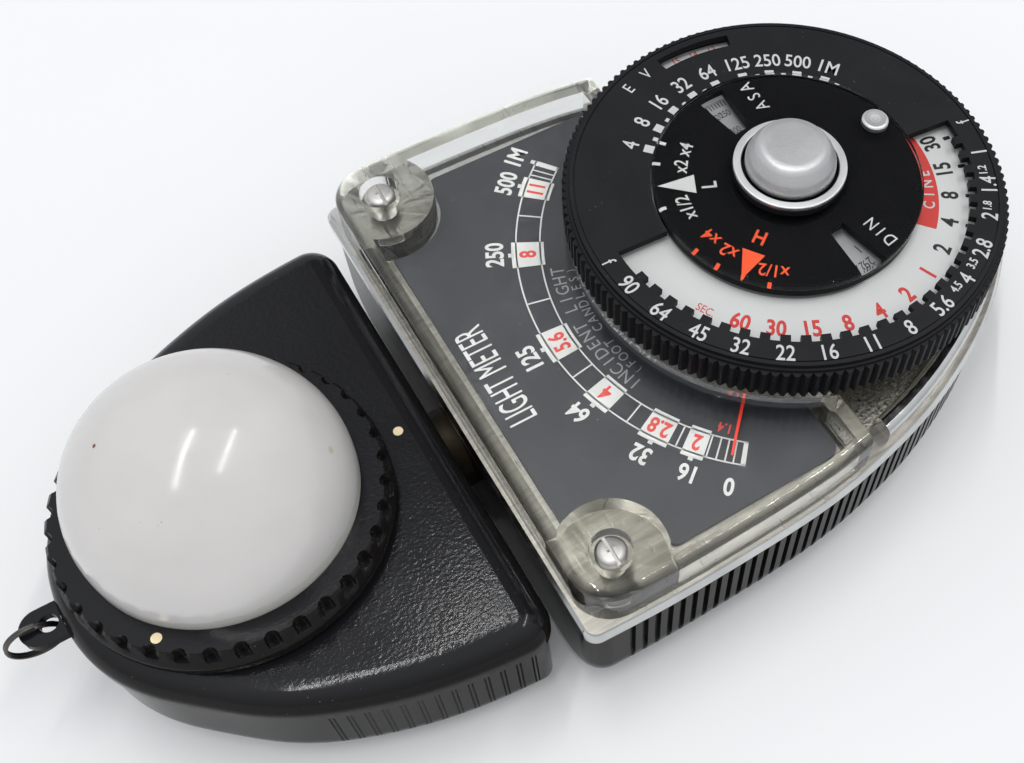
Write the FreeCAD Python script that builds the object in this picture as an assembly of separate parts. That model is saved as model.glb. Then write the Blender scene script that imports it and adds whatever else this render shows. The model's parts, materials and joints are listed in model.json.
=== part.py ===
import FreeCAD, Part
import math
import os

# A handheld light meter lying on its back: a ribbed case with a needle movement and
# calculator dials at one end, and a swivelling head with a domed light cell at the other.
# Units are millimetres. The origin is on the dial axis, at the flat back of the case.
# +Z points out of the dial face and +Y points towards the head.

V = FreeCAD.Vector
UP = V(0, 0, 1)

# Half outline of the case in plan, from beyond the neck down to the rounded end.
CASE_HALF = [(28.7, 45.0), (29.1, 39.0), (29.4, 32.0), (29.4, 25.0), (29.25, 18.0), (28.7, 11.0),
             (27.6, 5.0), (25.9, -1.5), (23.3, -8.0), (19.9, -14.2), (15.6, -19.7), (10.5, -24.2),
             (5.2, -26.9), (0.0, -27.8)]
CASE_NECK_Y = 40.9
# Half outline of the head in plan, from beyond the neck up to the rounded tip.
HEAD_HALF = [(26.3, 39.0), (26.2, 44.5), (25.6, 50.0), (24.5, 55.5), (22.7, 61.0), (20.4, 66.1),
             (18.0, 69.7), (15.0, 73.1), (11.3, 76.8), (6.0, 79.8), (0.0, 80.7)]
HEAD_NECK_Y = 42.3

WALL = 1.8                # case and head wall thickness
BACK_RADIUS = 7.0         # rounding between the sides and the flat back
CASE_TOP = 15.5           # top edge of the ribbed case
CASE_INSET = 0.35         # how far the case sides sit inside the frame edge
RIB_PITCH = 1.4
RIB_DEPTH = 0.55
FRAME_TOP = 17.0          # face of the chromed frame
CORNER_R = 1.5
CASE_CORNER_R = 2.6
PLAIN_NECK = 4.0          # smooth length of the sides before the ribs start

HEAD_TOP = 17.0
HEAD_SEAM = 13.2
HEAD_EDGE_R = 2.7
HEAD_CORNER_R = 3.0
HEAD_BACK_RADIUS = 5.5
SEAM_STEP = 0.3           # how far the rear shell stands back under the front shell
GRIP_START = 3.0          # from the neck to the first pair of grip grooves
GRIP_PITCH = 1.6
GRIP_PAIRS = 13
SLOT_HEIGHT = 0.8

AXLE_Z = 8.5              # height of the swivel axis
BUSH_R = 4.0
BUSH_COLLAR_R = 4.5
BUSH_BORE_R = 2.6
RUNNING = 0.06            # radial clearance of running fits

WINDOW_INSET = 0.7
WINDOW_NECK_INSET = 0.7
WINDOW_WALL = 1.5
WINDOW_TOP = 22.4
WINDOW_END_Y = 8.0
WINDOW_CORNER_R = 4.2
ARCH_R = 23.1             # the window's cut-out round the dial
SCREW_X = 24.0
SCREW_Y = 35.6
BOSS_R = 5.6
SCREW_SEAT = 20.9         # underside of the window screws' heads

SCALE_TOP = 17.5
SCALE_LEFT_X = -25.3
SCALE_RIGHT_X = 26.2
SCALE_NECK_Y = 37.4
MOVEMENT_HOLE_R = 12.6

RIM_TOP = 19.2
RIM_WIDTH = 2.2
RIM_END_Y = 4.6
DISH_TOP = 17.5
PEDESTAL_R = 16.5
PEDESTAL_BORE_R = 13.6
BASE_TOP = 22.6
BASE_UNDER = 20.6
BASE_R = 22.6

POST_R = 3.0
POST_BORE_R = 1.55
DIAL_BOTTOM = 23.3
DIAL_TOP = 27.8
KNURL_R = 23.4
KNURL_TEETH = 140
KNURL_DEPTH = 0.45
PLATE_R = 22.6
PLATE_THICK = 0.8
PLATE_BORE_R = 14.3
SPEED_R = 21.9
SPEED_TOP = 26.15
SPEED_WINDOW_R = 19.9      # outer edge of the opening over the shutter times
SPEED_TOOTH = 0.75        # how far its teeth reach inwards
SPEED_STEP = 5.85         # degrees between half stops
POINTER_R = 14.15
POINTER_TOP = 28.94
KNOB_R = 1.45
KNOB_TOP = 29.75
KNOB_AT = (11.8, -85.5)   # radius and direction of the finger pin

COLLAR_R = 5.9
COLLAR_TOP = 30.55
BUTTON_TOP = 33.5
BUTTON_R = 4.7
STEM_R = 1.5

NEEDLE_Z = 18.15
NEEDLE_ANGLE = 136.0      # direction of the needle at rest, from +X
NEEDLE_TIP_R = 28.2
STAFF_R = 0.45
COIL_R = 7.6
CORE_R = 6.2
YOKE_R_IN = 8.2
YOKE_R_OUT = 12.0

CELL_Y = 63.5             # centre of the light cell and dome
RING_R = 15.7
RING_TOP = 21.2
RING_NOTCHES = 36
NOTCH_R = 15.3            # centre of each notch's round inner end
NOTCH_FLOOR = 19.3
DOME_R = 12.9
DOME_SKIRT = 1.5          # straight part of the dome above the ring
SPIGOT_R = 13.3
INDEX_PIN_R = 0.5
HEAD_PIN_Y = 46.0

LUG_Z = 13.6
LUG_HOLE_Y = 81.9
LUG_HOLE_R = 0.9
LUG_HALF_THICK = 0.5
LUG_HALF_WIDTH = 1.9
LUG_TIP_Y = 84.6
STRAP_RING_R = 2.35
STRAP_WIRE_R = 0.36


def cyl(r, z0, z1, x=0.0, y=0.0):
    """Solid cylinder along Z."""
    return Part.makeCylinder(r, z1 - z0, V(x, y, z0), UP)


def tube(r_out, r_in, z0, z1, x=0.0, y=0.0):
    """Ring along Z."""
    return cyl(r_out, z0, z1, x, y).cut(cyl(r_in, z0 - 1, z1 + 1, x, y))


def box(x0, x1, y0, y1, z0, z1):
    """Box between two corners."""
    return Part.makeBox(x1 - x0, y1 - y0, z1 - z0, V(x0, y0, z0))


def cyl_y(r, y0, y1, z, x=0.0):
    """Solid cylinder along Y."""
    return Part.makeCylinder(r, y1 - y0, V(x, y0, z), V(0, 1, 0))


def polar(r, degrees):
    """Point at a radius and direction, as x and y."""
    a = math.radians(degrees)
    return r * math.cos(a), r * math.sin(a)


def fan(r, a0, a1, z0, z1):
    """Wedge of a disc between two directions, used to cut or keep a sector."""
    steps = max(2, int((a1 - a0) / 20) + 1)
    corners = [V(0, 0, z0)]
    for i in range(steps + 1):
        x, y = polar(r, a0 + (a1 - a0) * i / steps)
        corners.append(V(x, y, z0))
    corners.append(corners[0])
    return Part.Face(Part.makePolygon(corners)).extrude(V(0, 0, z1 - z0))


def turned(profile):
    """Solid of revolution about Z from radius and height pairs."""
    points = [V(r, 0, z) for r, z in profile]
    points.append(points[0])
    return Part.Face(Part.makePolygon(points)).revolve(V(0, 0, 0), UP, 360)


def mirrored(half):
    """Both sides of a half outline as one row of points."""
    return half + [(-x, y) for x, y in reversed(half[:-1])]


def side_curve(half, inset):
    """Smooth side line of an outline, moved inwards by the inset."""
    line = Part.BSplineCurve()
    line.interpolate([V(x, y, 0) for x, y in mirrored(half)])
    if inset == 0:
        return line
    points = []
    count = 60
    for i in range(count + 1):
        t = line.FirstParameter + (line.LastParameter - line.FirstParameter) * i / count
        tangent = line.tangent(t)[0]
        inward = UP.cross(tangent)
        if inward.dot(V(0, half[-1][1] / 2 + half[0][1] / 2, 0) - line.value(t)) < 0:
            inward = inward * -1
        points.append(line.value(t) + inward * inset)
    moved = Part.BSplineCurve()
    moved.interpolate(points)
    return moved


def slab(half, neck_y, inset, z0, z1, corner=0.0):
    """Plate with the plan outline, cut straight at the neck and rounded at its corners."""
    curve = side_curve(half, inset)
    ends = [curve.value(curve.LastParameter), curve.value(curve.FirstParameter)]
    wire = Part.Wire([curve.toShape(), Part.makeLine(ends[0], ends[1])])
    body = Part.Face(wire).extrude(V(0, 0, z1 - z0))
    body.translate(V(0, 0, z0))
    if half[-1][1] < neck_y:
        keep = box(-40, 40, -60, neck_y - inset, z0 - 1, z1 + 1)
    else:
        keep = box(-40, 40, neck_y + inset, 120, z0 - 1, z1 + 1)
    body = body.common(keep).removeSplitter()
    if corner > 0:
        body = body.makeFillet(corner, neck_corners(body, neck_y))
    return body


def neck_corners(body, neck_y):
    """The two upright edges where the sides meet the neck."""
    found = []
    for edge in body.Edges:
        b = edge.BoundBox
        if b.ZLength > 0.2 and b.XLength < 0.1 and b.YLength < 0.1 and abs(b.YMin - neck_y) < 4:
            found.append(edge)
    return found


def flat_edges(body, z, keep_neck=True, neck_y=0.0):
    """Outer edges lying at a height; the straight neck edge can be left out."""
    found = []
    for edge in body.Edges:
        b = edge.BoundBox
        if b.ZLength < 0.01 and abs(b.ZMin - z) < 0.01:
            if keep_neck or b.YLength > 0.01 or abs(b.YMin - neck_y) > 0.01:
                found.append(edge)
    return found


def hull(half, neck_y, inset, z0, z1, radius):
    """Block with a flat back and well-rounded lower sides; the neck face stays flat."""
    body = slab(half, neck_y, inset, z0, z1)
    neck = neck_y
    neck += -inset if half[-1][1] < neck_y else inset
    return body.makeFillet(radius, flat_edges(body, z0, False, neck))


def hull_corners(body, neck_y):
    """Edges where the sides and their lower rounding meet the flat neck face."""
    found = []
    for edge in body.Edges:
        b = edge.BoundBox
        if b.YLength < 0.02 and abs(b.YMin - neck_y) < 0.02 and b.ZLength > 1:
            found.append(edge)
    return found


def ribbed_slab(half, inset, z0, z1):
    """Block that reaches past the sides except in a row of upright grooves."""
    curve = side_curve(half, inset)
    length = curve.length()
    count = int(length / RIB_PITCH)
    centre = V(0, (half[0][1] + half[-1][1]) / 2, 0)
    points = []
    for i in range(count):
        for along, depth in ((0.0, -0.4), (0.42, -0.4), (0.56, RIB_DEPTH), (0.86, RIB_DEPTH)):
            t = curve.parameterAtDistance((i + along) * length / count, curve.FirstParameter)
            inward = UP.cross(curve.tangent(t)[0])
            if inward.dot(centre - curve.value(t)) < 0:
                inward = inward * -1
            points.append(curve.value(t) + inward * depth)
    points.append(curve.value(curve.LastParameter) + V(-0.4, 0, 0))
    points.append(points[0])
    body = Part.Face(Part.makePolygon(points)).extrude(V(0, 0, z1 - z0))
    body.translate(V(0, 0, z0))
    return body


def case_screw_points():
    """Places of the four screws that close the case from behind."""
    return [(18.5, 27.5), (-18.5, 27.5), (10.5, -11.5), (-10.5, -11.5)]


def make_rear_case():
    outer = hull(CASE_HALF, CASE_NECK_Y, CASE_INSET, 0, CASE_TOP, BACK_RADIUS)
    outer = outer.makeFillet(CASE_CORNER_R, hull_corners(outer, CASE_NECK_Y - CASE_INSET))
    ribs = ribbed_slab(CASE_HALF, CASE_INSET, -1, CASE_TOP + 1)
    plain_neck = box(-40, 40, CASE_NECK_Y - PLAIN_NECK, CASE_NECK_Y + 1, -1, CASE_TOP + 1)
    inner_inset = CASE_INSET + WALL
    inner = hull(CASE_HALF, CASE_NECK_Y, inner_inset, WALL, CASE_TOP + 5, BACK_RADIUS - WALL)
    body = outer.common(ribs.fuse(plain_neck)).cut(inner)
    for x, y in case_screw_points():
        body = body.fuse(cyl(2.7, WALL - 0.3, CASE_TOP, x, y))
    for x, y in case_screw_points():
        body = body.cut(cyl(1.25, -1, CASE_TOP + 1, x, y)).cut(cyl(2.2, -1, 1.5, x, y))
    body = body.cut(cyl_y(BUSH_R + 0.02, CASE_NECK_Y - 4, CASE_NECK_Y + 1, AXLE_Z))
    return body.cut(cyl(2.2, -1, WALL + 1)).removeSplitter()


def make_case_screws():
    screws = []
    for x, y in case_screw_points():
        screw = cyl(2.0, 0.35, 1.45, x, y).fuse(cyl(1.15, 1.4, 16.3, x, y))
        screws.append(screw.cut(box(x - 2.1, x + 2.1, y - 0.25, y + 0.25, 0.2, 0.8)))
    return Part.makeCompound(screws)


def make_face_frame():
    """Chromed frame: flat border under the window, polished rim round the dish."""
    plate = slab(CASE_HALF, CASE_NECK_Y, 0, CASE_TOP, FRAME_TOP, CORNER_R)
    plate = plate.makeChamfer(0.35, flat_edges(plate, FRAME_TOP))
    rim = slab(CASE_HALF, CASE_NECK_Y, 0.9, FRAME_TOP - 0.2, RIM_TOP)
    rim = rim.cut(slab(CASE_HALF, CASE_NECK_Y, 0.9 + RIM_WIDTH, FRAME_TOP - 1, RIM_TOP + 1))
    rim = rim.common(box(-40, 40, -60, RIM_END_Y, FRAME_TOP - 0.2, RIM_TOP))
    rim = rim.makeFillet(0.8, rim_top_edges(rim))
    body = plate.fuse(rim).cut(cyl(MOVEMENT_HOLE_R, 0, 30))
    for x in (-SCREW_X, SCREW_X):
        body = body.cut(cyl(1.35, 0, 30, x, SCREW_Y))
    for x, y in case_screw_points():
        body = body.cut(cyl(1.2, 0, 16.4, x, y))
    for x in (-19.0, 19.0):
        body = body.cut(cyl(0.85, 0, 16.6, x, 0))
    return body.removeSplitter()


def rim_top_edges(rim):
    """The two long edges along the top of the rim."""
    found = []
    for edge in flat_edges(rim, RIM_TOP):
        if edge.BoundBox.XLength > 10:
            found.append(edge)
    return found


def make_dish_plate():
    """Blasted metal floor of the dish that the dials overhang."""
    body = slab(CASE_HALF, CASE_NECK_Y, 0.9 + RIM_WIDTH + 0.05, FRAME_TOP, DISH_TOP)
    body = body.common(box(-40, 40, -60, WINDOW_END_Y - 0.1, 0, 30))
    return body.cut(cyl(PEDESTAL_R + 0.05, 0, 30))


def make_scale_plate():
    body = box(SCALE_LEFT_X, SCALE_RIGHT_X, WINDOW_END_Y + 1.7, SCALE_NECK_Y, FRAME_TOP, SCALE_TOP)
    for x in (-SCREW_X, SCREW_X):
        body = body.cut(cyl(BOSS_R + 0.3, 0, 30, x, SCREW_Y))
    corners = []
    for edge in body.Edges:
        b = edge.BoundBox
        if b.ZLength > 0.4 and b.XLength < 0.01 and min(b.XMax - SCALE_LEFT_X, SCALE_RIGHT_X - b.XMax) < 0.01:
            corners.append(edge)
    body = body.makeFillet(1.2, corners)
    return body.cut(cyl(PEDESTAL_R + 0.05, 0, 30))


def make_window():
    """Clear cover over the scale, arched round the dial, with a boss at each neck corner."""
    neck_y = CASE_NECK_Y + WINDOW_INSET - WINDOW_NECK_INSET
    outer = slab(CASE_HALF, neck_y, WINDOW_INSET, FRAME_TOP, WINDOW_TOP, WINDOW_CORNER_R)
    outer = outer.makeFillet(1.0, flat_edges(outer, WINDOW_TOP))
    inner = slab(CASE_HALF, neck_y, WINDOW_INSET + WINDOW_WALL, FRAME_TOP - 1,
                 WINDOW_TOP - WINDOW_WALL, 4.0)
    inner = inner.common(box(-40, 40, WINDOW_END_Y + WINDOW_WALL, 60, 0, 30))
    for x in (-SCREW_X, SCREW_X):
        inner = inner.cut(cyl(BOSS_R, 0, 30, x, SCREW_Y))
    body = outer.common(box(-40, 40, WINDOW_END_Y, 60, 0, 30)).cut(inner)
    body = body.cut(cyl(ARCH_R, 0, 30))
    for x in (-SCREW_X, SCREW_X):
        body = body.cut(cyl(1.45, 0, 30, x, SCREW_Y)).cut(cyl(2.1, SCREW_SEAT, 30, x, SCREW_Y))
    return body.removeSplitter()


def make_window_screws():
    screws = []
    for x in (-SCREW_X, SCREW_X):
        z = SCREW_SEAT
        head = turned([(0, z), (1.55, z), (1.55, z + 1.0), (1.2, z + 1.3), (0, z + 1.45)])
        head.translate(V(x, SCREW_Y, 0))
        slot = box(x - 2, x + 2, SCREW_Y - 0.18, SCREW_Y + 0.18, z + 1.0, 24)
        screws.append(head.fuse(cyl(1.3, 12.5, z + 0.1, x, SCREW_Y)).cut(slot))
    return Part.makeCompound(screws)


def make_dial_base():
    """Turned base under the dials, open in front so that the needle can pass."""
    wall = tube(PEDESTAL_R, PEDESTAL_BORE_R, FRAME_TOP, BASE_UNDER + 0.2)
    wall = wall.cut(fan(40, 22, 158, FRAME_TOP - 1, BASE_UNDER))
    lip = cyl(BASE_R, BASE_UNDER, BASE_TOP).common(box(-40, 40, WINDOW_END_Y + 0.5, 40, 0, 40))
    top = cyl(BASE_R - 2.2, BASE_UNDER, BASE_TOP).fuse(lip).cut(cyl(POST_R + 0.02, 0, 40))
    return wall.fuse(top).removeSplitter()


def make_dial_post():
    """Fixed tube that the dials turn on and the button's stem slides in."""
    body = cyl(POST_R, BASE_UNDER, 29.15).fuse(cyl(4.6, 22.6, 22.9))
    return body.cut(cyl(POST_BORE_R, 0, 40))


def make_dial_washer():
    return tube(8.0, POST_R + RUNNING, 22.92, DIAL_BOTTOM - 0.02)


def knurled(r, z0, z1):
    """Disc with a fine toothed edge."""
    points = []
    for i in range(KNURL_TEETH):
        step = 360.0 / KNURL_TEETH
        for part, depth in ((0.0, KNURL_DEPTH), (0.32, 0.0), (0.62, 0.0)):
            x, y = polar(r - depth, (i + part) * step)
            points.append(V(x, y, z0))
    points.append(points[0])
    return Part.Face(Part.makePolygon(points)).extrude(V(0, 0, z1 - z0))


def make_dial_ring():
    """Knurled pan that turns the printed plate."""
    rim = knurled(KNURL_R, DIAL_BOTTOM, DIAL_TOP - PLATE_THICK)
    rim = rim.fuse(cyl(KNURL_R - 0.5, DIAL_TOP - PLATE_THICK - 0.01, DIAL_TOP - 0.45))
    rim = rim.cut(cyl(PLATE_R + 0.02, DIAL_TOP - PLATE_THICK, 40))
    rim = rim.cut(cyl(SPEED_R + 0.1, DIAL_BOTTOM + 0.7, 40))
    return rim.cut(cyl(POST_R + RUNNING, 0, 40)).removeSplitter()


def speed_window():
    """Stepped opening over the shutter-time disc, as a cutting tool."""
    z0, z1 = DIAL_TOP - 2, DIAL_TOP + 1
    start, end = 87.1, 264.3
    tool = cyl(SPEED_WINDOW_R, z0, z1).common(fan(60, start, end, z0, z1))
    outer = cyl(SPEED_WINDOW_R + 1, z0, z1).cut(cyl(SPEED_WINDOW_R - SPEED_TOOTH, 0, 60))
    teeth = []
    for i in range(28):
        middle = 98.0 + SPEED_STEP * i
        teeth.append(fan(60, middle - 1.5, middle + 1.5, z0, z1).common(outer))
    return tool.cut(Part.makeCompound(teeth))


def make_dial_plate():
    """Printed plate of the outer dial with its openings."""
    z0, z1 = DIAL_TOP - PLATE_THICK, DIAL_TOP
    body = cyl(PLATE_R, z0, z1).cut(cyl(PLATE_BORE_R, z0 - 1, z1 + 1))
    body = body.cut(speed_window())
    slot = tube(21.3, 19.7, z0 - 1, z1 + 1).common(fan(60, -16, 8, z0 - 1, z1 + 1))
    groove = tube(22.2, 22.05, z1 - 0.15, z1 + 1)
    return body.cut(slot).cut(groove).removeSplitter()


def make_speed_disc():
    """White disc with the shutter times and the film speeds."""
    body = tube(SPEED_R, POST_R + RUNNING, SPEED_TOP - 0.8, SPEED_TOP)
    return body.fuse(tube(5.0, POST_R + RUNNING, DIAL_BOTTOM + 0.72, SPEED_TOP - 0.7))


def pointer_window(a0, a1):
    """Sector opening in the pointer dial's print."""
    ring = tube(13.7, 7.8, SPEED_TOP - 1, POINTER_TOP - 1.0)
    return ring.common(fan(60, a0, a1, 0, 60))


def make_pointer_print():
    """Black underside of the pointer dial, open over the film speeds."""
    body = tube(POINTER_R - 0.1, POST_R + RUNNING, DIAL_TOP - 0.8, POINTER_TOP - 1.04)
    body = body.cut(pointer_window(-3.4, 10.6)).cut(pointer_window(177.7, 191.6))
    x, y = polar(*KNOB_AT)
    return body.cut(cyl(0.6, 0, 60, x, y))


def make_pointer_dial():
    """Clear disc carrying the high and low pointers."""
    body = turned([(POST_R + RUNNING, POINTER_TOP - 1.04), (POINTER_R, POINTER_TOP - 1.04),
                   (POINTER_R, POINTER_TOP - 0.25), (POINTER_R - 0.25, POINTER_TOP),
                   (POST_R + RUNNING, POINTER_TOP)])
    x, y = polar(*KNOB_AT)
    return body.cut(cyl(0.6, 0, 60, x, y))


def make_pointer_knob():
    x, y = polar(*KNOB_AT)
    body = turned([(0, POINTER_TOP), (KNOB_R, POINTER_TOP), (KNOB_R, KNOB_TOP - 0.15),
                   (KNOB_R - 0.15, KNOB_TOP), (0, KNOB_TOP)])
    body.translate(V(x, y, 0))
    return body.fuse(cyl(0.58, DIAL_TOP - 0.8, POINTER_TOP + 0.5, x, y))


def make_collar_base():
    """Black cup round the button; it holds the dials on their post."""
    z0 = POINTER_TOP + 0.02
    body = turned([(POST_R + 0.01, z0), (COLLAR_R - 0.3, z0), (COLLAR_R, z0 + 0.3),
                   (COLLAR_R, COLLAR_TOP - 0.5), (5.05, COLLAR_TOP - 0.5), (5.05, z0 + 0.2),
                   (POST_R + 0.01, z0 + 0.2)])
    return body


def make_collar_ring():
    """Bright ring on the cup's edge."""
    z0 = COLLAR_TOP - 0.5
    return turned([(5.05, z0), (COLLAR_R, z0), (COLLAR_R, z0 + 0.25), (COLLAR_R - 0.25, COLLAR_TOP),
                   (5.3, COLLAR_TOP), (5.05, z0 + 0.25)])


def make_center_button():
    """Hollow metal push button."""
    outside = [(BUTTON_R, 30.25), (BUTTON_R, 30.9), (4.55, 31.7), (4.2, 32.6), (3.75, 33.2),
               (3.35, 33.45), (0, BUTTON_TOP)]
    inside = [(0, 32.3), (3.2, 32.3), (3.7, 31.6), (3.9, 30.25)]
    return turned(inside + outside).fuse(tube(2.0, STEM_R, 31.2, 32.35)).removeSplitter()


def make_button_stem():
    return cyl(STEM_R, 20.35, 32.3)


def make_button_spring():
    """Return spring between the cup's floor and the button."""
    wire = 0.18
    low, high = 29.17 + wire, 32.3 - wire
    helix = Part.makeHelix(0.68, high - low, 2.35)
    helix.translate(V(0, 0, low))
    section = Part.Wire([Part.makeCircle(wire, V(2.35, 0, low), V(0, 1, 0.05))])
    spring = Part.Wire(helix).makePipeShell([section], True, True)
    return spring


def make_brake_yoke():
    """Stirrup on the stem that holds the needle from below until the button is pressed."""
    sector = tube(9.6, 8.4, 17.7, 17.95).common(fan(60, -8, 188, 0, 60))
    body = box(-9.6, 9.6, -1.3, 1.3, 19.9, 20.35)
    for x0, x1 in ((-9.6, -8.6), (8.6, 9.6)):
        body = body.fuse(box(x0, x1, -1.3, 1.3, 17.7, 20.0))
    return body.fuse(sector).removeSplitter()


def along_needle(shape):
    """Turns a piece drawn along +X to the needle's resting direction."""
    shape.rotate(V(0, 0, 0), UP, NEEDLE_ANGLE)
    return shape


def make_needle():
    """Thin pointer with a short tail."""
    blade = [V(-5.4, 0.28, 0), V(-5.4, -0.28, 0), V(4, -0.3, 0), V(NEEDLE_TIP_R, -0.12, 0),
             V(NEEDLE_TIP_R, 0.12, 0), V(4, 0.3, 0)]
    blade.append(blade[0])
    body = Part.Face(Part.makePolygon(blade)).extrude(V(0, 0, 0.2))
    body = body.fuse(cyl(1.1, 0, 0.4)).cut(cyl(STAFF_R, -1, 1))
    body.translate(V(0, 0, NEEDLE_Z))
    return along_needle(body)


def make_counterweight():
    """Small nut that balances the needle."""
    body = Part.makeCylinder(0.75, 1.5, V(-7.0, 0, NEEDLE_Z + 0.1), V(1, 0, 0))
    body = body.cut(box(-5.4, -4, -0.28, 0.28, NEEDLE_Z, NEEDLE_Z + 0.2))
    return along_needle(body)


def make_pivot_staff():
    return cyl(STAFF_R, 4.6, 18.6).cut(cyl(2, 5.3, 13.7)).fuse(cyl(0.2, 3.0, 4.6))


def make_moving_coil():
    """Flat rectangular coil that wraps round the magnet core."""
    body = box(-COIL_R, COIL_R, -1.2, 1.2, 4.6, 14.4)
    body = body.cut(box(-6.9, 6.9, -2, 2, 5.3, 13.7))
    body = along_needle(body)
    return body.cut(cyl(STAFF_R, 0, 30))


def make_core_magnet():
    return cyl(CORE_R, 5.7, 13.3)


def make_core_spacers():
    """Two brass blocks that hold the core inside the yoke."""
    ring = tube(YOKE_R_IN, CORE_R, 7.0, 12.0)
    first = ring.common(fan(30, -10.5, 5.5, 0, 40))
    second = ring.common(fan(30, 169.5, 185.5, 0, 40))
    return Part.makeCompound([first, second])


def make_yoke_ring():
    body = tube(YOKE_R_OUT, YOKE_R_IN, 5.0, 14.0)
    for x in (-10.1, 10.1):
        body = body.cut(cyl(0.65, 0, 30, x, 0))
    return body


def make_bridge_top():
    """Plate that hangs the movement under the frame and carries the upper bearing."""
    body = box(-21.5, 21.5, -4, 4, 14.8, CASE_TOP)
    for x0, x1 in ((-11.8, -8.5), (8.5, 11.8)):
        body = body.fuse(box(x0, x1, -2.0, 2.0, 14.0, 14.9))
    body = body.cut(cyl(1.6, 0, 30))
    for x in (-19.0, 19.0):
        body = body.cut(cyl(0.85, 0, 30, x, 0))
    for x in (-10.1, 10.1):
        body = body.cut(cyl(0.65, 0, 30, x, 0))
    return body.removeSplitter()


def make_bridge_bottom():
    body = box(-11.8, 11.8, -2.5, 2.5, 2.7, 3.5)
    for x0, x1 in ((-11.8, -8.5), (8.5, 11.8)):
        body = body.fuse(box(x0, x1, -2.0, 2.0, 3.4, 5.0))
    body = body.cut(cyl(0.9, 0, 30))
    for x in (-10.1, 10.1):
        body = body.cut(cyl(0.65, 0, 30, x, 0))
    return body.removeSplitter()


def make_bridge_screws():
    """Two long screws that clamp the bridges to the yoke."""
    screws = []
    for x in (-10.1, 10.1):
        screws.append(cyl(1.2, CASE_TOP, 16.1, x, 0).fuse(cyl(0.6, 2.8, CASE_TOP + 0.1, x, 0)))
    return Part.makeCompound(screws)


def make_movement_screws():
    """Two screws that hold the upper bridge to the frame."""
    screws = []
    for x in (-19.0, 19.0):
        screws.append(cyl(1.5, 13.9, 14.8, x, 0).fuse(cyl(0.8, 14.7, 16.5, x, 0)))
    return Part.makeCompound(screws)


def make_upper_bearing():
    return tube(1.6, STAFF_R + 0.03, 14.8, 16.0)


def make_lower_bearing():
    """Jewelled cup for the lower pivot."""
    return cyl(0.9, 2.3, 3.6).cut(cyl(0.24, 2.95, 5))


def spiral(z0, z1, r0, r1, turns, start):
    """Flat spiral strip, such as a hairspring."""
    thick = 0.06
    inner, outer = [], []
    steps = int(turns * 24)
    for i in range(steps + 1):
        part = i / steps
        a = start + 360.0 * turns * part
        r = r0 + (r1 - r0) * part
        inner.append(V(*polar(r - thick, a), z0))
        outer.append(V(*polar(r + thick, a), z0))
    edges = []
    for row in (inner, list(reversed(outer))):
        line = Part.BSplineCurve()
        line.interpolate(row)
        edges.append(line.toShape())
    edges.append(Part.makeLine(inner[-1], outer[-1]))
    edges.append(Part.makeLine(outer[0], inner[0]))
    return Part.Face(Part.Wire(Part.__sortEdges__(edges))).extrude(V(0, 0, z1 - z0))


def make_hairspring_top():
    return spiral(16.6, 17.0, 0.95, 3.9, 5, 0)


def make_hairspring_bottom():
    return spiral(3.85, 4.2, 0.75, 3.9, 5, 0)


def make_spring_collets():
    """Small brass rings that fix the inner ends of the hairsprings to the staff."""
    top = tube(0.88, STAFF_R, 16.5, 17.1)
    bottom = tube(0.68, 0.2, 3.8, 4.25)
    return Part.makeCompound([top, bottom])


def make_spring_studs():
    """Posts on the bridges that hold the outer ends of the hairsprings."""
    x = 4.35
    top = box(x - 0.35, x + 0.6, -0.6, 0.6, CASE_TOP, 17.1)
    bottom = box(x - 0.35, x + 0.6, -0.6, 0.6, 3.5, 4.3)
    return Part.makeCompound([top, bottom])


def make_zero_adjuster():
    """Slotted screw in the back for setting the needle to zero."""
    body = cyl(2.1, 0.35, 1.5).fuse(cyl(1.2, 1.4, 2.2))
    return body.cut(box(-2.3, 2.3, -0.3, 0.3, 0, 0.9))


def make_swivel_bush():
    """Brass tube that joins the case to the head, flanged inside the case."""
    inside = CASE_NECK_Y - CASE_INSET - WALL
    body = cyl_y(BUSH_R, inside - 1.2, 48.0, AXLE_Z)
    body = body.fuse(cyl_y(5.6, inside - 1.2, inside, AXLE_Z))
    collar_end = HEAD_NECK_Y + SEAM_STEP - 0.05
    body = body.fuse(cyl_y(BUSH_COLLAR_R, CASE_NECK_Y - CASE_INSET, collar_end, AXLE_Z))
    return body.cut(cyl_y(BUSH_BORE_R, 30, 60, AXLE_Z)).removeSplitter()


def make_swivel_washer():
    """Spring washer that gives the head its firm turn."""
    y0 = HEAD_NECK_Y + SEAM_STEP + WALL + 0.03
    return cyl_y(5.8, y0, y0 + 0.6, AXLE_Z).cut(cyl_y(BUSH_R + 0.02, 30, 60, AXLE_Z))


def make_swivel_nut():
    y0 = HEAD_NECK_Y + SEAM_STEP + WALL + 0.65
    points = []
    for i in range(7):
        x, z = polar(6.2, 60 * i)
        points.append(V(x, y0, AXLE_Z + z))
    body = Part.Face(Part.makePolygon(points)).extrude(V(0, 2.6, 0))
    return body.cut(cyl_y(BUSH_R + 0.02, 30, 60, AXLE_Z))


def grip_grooves(side):
    """Pairs of short upright grooves along one side of the head."""
    curve = side_curve(HEAD_HALF, 0)
    start = curve.length(curve.FirstParameter, curve.parameter(neck_point(curve)))
    cuts = []
    for i in range(GRIP_PAIRS):
        for shift in (-0.19, 0.19):
            along = start + GRIP_START + GRIP_PITCH * i + shift
            point = curve.value(curve.parameterAtDistance(along, curve.FirstParameter))
            low, high = point.x - SEAM_STEP - 0.45, point.x + 2
            blade = box(low, high, point.y - 0.1, point.y + 0.1, 1.5, HEAD_SEAM - 0.8)
            if side < 0:
                blade = blade.mirror(V(0, 0, 0), V(1, 0, 0))
            cuts.append(blade)
    return Part.makeCompound(cuts)


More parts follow.
